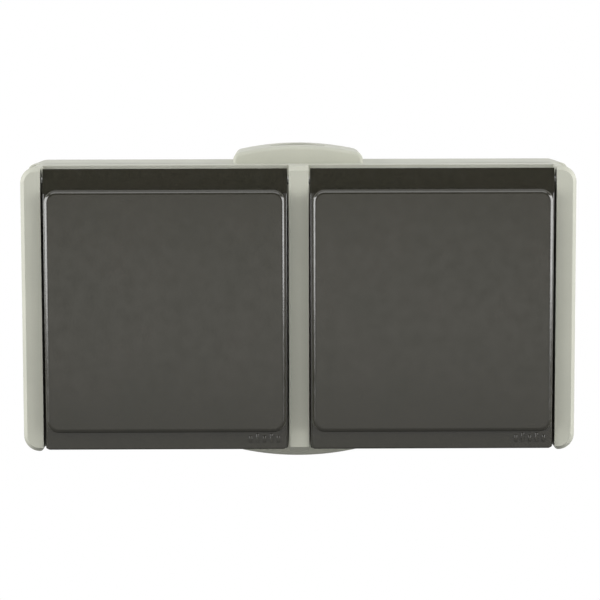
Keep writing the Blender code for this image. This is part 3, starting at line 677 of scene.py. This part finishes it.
def make_lid(side_name, centre_x):
    """One lid: flange, raised pad, finger lip, hinge hood, hollow rear and its raised mark."""
    half = LID_HALF_WIDTH
    levels = [(0.0, LID_BACK_Y)] + fillet_levels(FLANGE_FACE_Y, 0.3 * MM, -1, 3)
    flange_top = HINGE_Z - 1 * MM

    def flange_outline(inset):
        return rounded_outline(half - inset, LID_BOTTOM_Z + inset, flange_top - inset, LID_CORNER_RADIUS)

    lid = loft(f"lid_shell_{side_name}", flange_outline, levels)
    wall = [(0.0, FLANGE_FACE_Y + 1 * MM), (PAD_DRAFT, PAD_FACE_Y + PAD_FILLET)]
    rim = [(PAD_DRAFT + inset, y) for inset, y in fillet_levels(PAD_FACE_Y, PAD_FILLET, -1, 6)[1:]]
    pad = loft("pad", pad_outline, wall + rim)
    lip = slab("lip", lip_outline, LID_BACK_Y, LIP_FACE_Y, 0.0, LIP_FILLET)
    hood = prism_x("hood", hood_profile(), -half, half)
    for part in (lip, pad, hood):
        boolean(lid, "UNION", part)
    inner = PAD_HALF_WIDTH - LID_WALL
    behind = LID_BACK_Y + 3 * MM
    pad_low = PAD_BOTTOM_Z + LID_WALL
    inside = rounded_outline(inner, pad_low, PAD_TOP_Z - LID_WALL, 1.2 * MM)
    pad_space = slab("space", inside, behind, PAD_FACE_Y + LID_WALL)
    low = LID_BOTTOM_Z + LID_WALL
    lip_space = blocks(((-inner, LIP_FACE_Y + LID_WALL, low), (inner, behind, PAD_BOTTOM_Z + 2.6 * MM)))
    boolean(lid, "DIFFERENCE", pad_space, lip_space)
    bore_ends = ((-half - 1 * MM, HINGE_Y, HINGE_Z), (half + 1 * MM, HINGE_Y, HINGE_Z))
    spring_ends = ((-SPRING_SPACE_HALF, HINGE_Y, HINGE_Z), (SPRING_SPACE_HALF, HINGE_Y, HINGE_Z))
    window = blocks((
        (-SPRING_SPACE_HALF, HINGE_Y + 0.4 * MM, HINGE_Z - 5 * MM),
        (SPRING_SPACE_HALF, HINGE_Y + 4 * MM, HINGE_Z + 4 * MM),
    ))
    bore = rods(LID_BORE_RADIUS, bore_ends)
    boolean(lid, "DIFFERENCE", bore, rods(SPRING_SPACE_RADIUS, spring_ends), window)
    soften(lid, 0.12 * MM, 40)
    lid.data.transform(Matrix.Translation((centre_x, 0, 0)))
    finish_piece(lid, f"lid_{side_name}", "dark_lid_plastic", f"lid_{side_name}")
    mark = protection_mark(f"lid_mark_{side_name}")
    soften(mark, 0.12 * MM)
    mark.data.transform(Matrix.Translation((centre_x, 0, 0)))
    finish_piece(mark, f"lid_{side_name}", "dark_lid_plastic")


# Rockers


def make_rocker(side_name, centre_x):
    """One rocker cap: round-edged shell with a gently dished face, tipped to its rest."""

    def outline(inset):
        half = ROCKER_HALF - inset
        return rounded_outline(half, -half, half, max(ROCKER_CORNER_RADIUS - inset, 0.3 * MM))

    edge = fillet_levels(ROCKER_FACE_Y, ROCKER_FILLET, -1, 6)
    rocker = loft(f"rocker_cap_{side_name}", outline, [(0.0, ROCKER_BACK_Y)] + edge)
    inner = ROCKER_HALF - ROCKER_WALL
    space = blocks(((-inner, ROCKER_FACE_Y + ROCKER_WALL, -inner), (inner, ROCKER_BACK_Y + 2 * MM, inner)))
    boolean(rocker, "DIFFERENCE", space)
    dish_radius = (ROCKER_DISH_HALF ** 2 + ROCKER_DISH ** 2) / (2 * ROCKER_DISH)
    dish_y = ROCKER_FACE_Y + ROCKER_DISH - dish_radius
    reach = ROCKER_HALF + 1 * MM
    dish = rods(dish_radius, ((-reach, dish_y, 0), (reach, dish_y, 0)), sides=512)
    boolean(rocker, "DIFFERENCE", dish)
    soften(rocker, 0.15 * MM)
    tilt = Matrix.Rotation(ROCKER_TILT, 4, "X")
    stand = Matrix.Translation(Vector((centre_x, 0, 0)) + ROCKER_PIVOT) @ tilt
    rocker.data.transform(stand @ Matrix.Translation(-ROCKER_PIVOT))
    finish_piece(rocker, f"rocker_{side_name}", "light_grey_plastic", f"rocker_{side_name}")


# CAD nodes that keep their shape


def finish_frame_nodes():
    """Give every CAD node that still shows its procedural finish."""
    slots = {entry["node"]: entry["material_slot"] for entry in frame["record"]["subparts"]}
    for name, node in frame["nodes"].items():
        node.data.materials.clear()
        node.data.materials.append(FINISHES[slots[name]])


# Studio


def ramp_along_y(add, source, low_y, high_y, low_value, high_value):
    """A value that rises from low_value at low_y to high_value at high_y."""
    along = add("ShaderNodeSeparateXYZ", {"Vector": source})
    levels = {"From Min": low_y, "From Max": high_y, "To Min": low_value, "To Max": high_value}
    return add("ShaderNodeMapRange", {"Value": along.outputs["Y"], **levels}).outputs["Result"]


def make_floor():
    """A wide pale floor: white to the camera and clear from below; to the lighting it glows with painted
    shade, dimmer near and under the switch and brighter in front of it.
    """
    bpy.ops.mesh.primitive_plane_add(size=FLOOR_SIZE, location=(0, 0, FLOOR_Z))
    floor = bpy.context.object
    floor.name = "floor"
    made = bpy.data.materials.new("pale_floor")
    made.use_nodes = True
    tree = made.node_tree
    tree.nodes.clear()
    add = node_adder(tree)
    place = add("ShaderNodeTexCoord").outputs["Object"]
    # Painted shade: the floor's glow to the lighting falls from the bright front to a dim level near and
    # under the switch
    glow_with_painted_shade = ramp_along_y(add, place, -0.5, -0.1, FLOOR_FRONT_RADIANCE, FLOOR_NEAR_PAINTED_SHADE)
    seen = add("ShaderNodeLightPath").outputs["Is Camera Ray"]
    level = add("ShaderNodeMapRange", {"Value": seen, "To Min": glow_with_painted_shade, "To Max": 1.0})
    glow = add("ShaderNodeEmission", {"Strength": level.outputs["Result"]}).outputs["Emission"]
    underside = add("ShaderNodeNewGeometry").outputs["Backfacing"]
    clear = add("ShaderNodeBsdfTransparent").outputs["BSDF"]
    surface = add("ShaderNodeMixShader", {"Fac": underside, 1: glow, 2: clear})
    add("ShaderNodeOutputMaterial", {"Surface": surface.outputs["Shader"]})
    floor.data.materials.append(made)


def area_light(name, place, size, radiance, colour=WHITE):
    """A soft rectangular light that faces the switch."""
    data = bpy.data.lights.new(name, "AREA")
    data.shape = "RECTANGLE"
    data.size, data.size_y = size
    data.energy = radiance * size[0] * size[1] * math.pi
    data.color = colour
    light = bpy.data.objects.new(name, data)
    light.location = place
    light.rotation_euler = (Vector(LIGHT_TARGET) - Vector(place)).to_track_quat("-Z", "Y").to_euler()
    bpy.context.scene.collection.objects.link(light)


def make_lights():
    """A white surround behind the switch, soft boxes beside and above it and a dim panel in front."""
    world = bpy.data.worlds.new("studio")
    world.use_nodes = True
    tree = world.node_tree
    background = tree.nodes["Background"]
    background.inputs["Color"].default_value = (1, 1, 1, 1)
    add = node_adder(tree)
    direction = add("ShaderNodeTexCoord").outputs["Generated"]
    around = ramp_along_y(add, direction, -0.2, 0.4, FRONT_RADIANCE, BACK_RADIANCE)
    seen = add("ShaderNodeLightPath").outputs["Is Camera Ray"]
    level = add("ShaderNodeMapRange", {"Value": seen, "To Min": around, "To Max": 1.0})
    tree.links.new(level.outputs["Result"], background.inputs["Strength"])
    bpy.context.scene.world = world
    box_x, box_y, box_z = SIDE_BOX_PLACE
    for name, side in (("left_box", -1), ("right_box", 1)):
        area_light(name, (side * box_x, box_y, box_z), SIDE_BOX_SIZE, SIDE_RADIANCE)
    area_light("top_box", TOP_BOX_PLACE, TOP_BOX_SIZE, TOP_RADIANCE)
    area_light("front_panel", FRONT_PANEL_PLACE, FRONT_PANEL_SIZE, PANEL_RADIANCE, WARM_WHITE)


def make_camera():
    """The photograph's camera: slightly above, with a long lens."""
    data = bpy.data.cameras.new("camera")
    data.lens = CAMERA_LENS
    data.sensor_width = 36.0
    camera = bpy.data.objects.new("camera", data)
    camera.location = CAMERA_PLACE
    level = Matrix.Rotation(CAMERA_YAW, 3, "Z") @ Matrix.Rotation(math.pi / 2 + CAMERA_PITCH, 3, "X")
    camera.rotation_euler = (level @ Matrix.Rotation(CAMERA_ROLL, 3, "Z")).to_euler()
    bpy.context.scene.collection.objects.link(camera)
    bpy.context.scene.camera = camera


bpy.context.scene.view_settings.view_transform = "Standard"
make_camera()
make_lights()
make_floor()
finish_frame_nodes()
make_base()
make_cover()
make_entry_seals()
make_cover_screws()
for side_name, side in (("left", -1), ("right", 1)):
    make_lid(side_name, side * GANG_X)
    make_rocker(side_name, side * GANG_X)
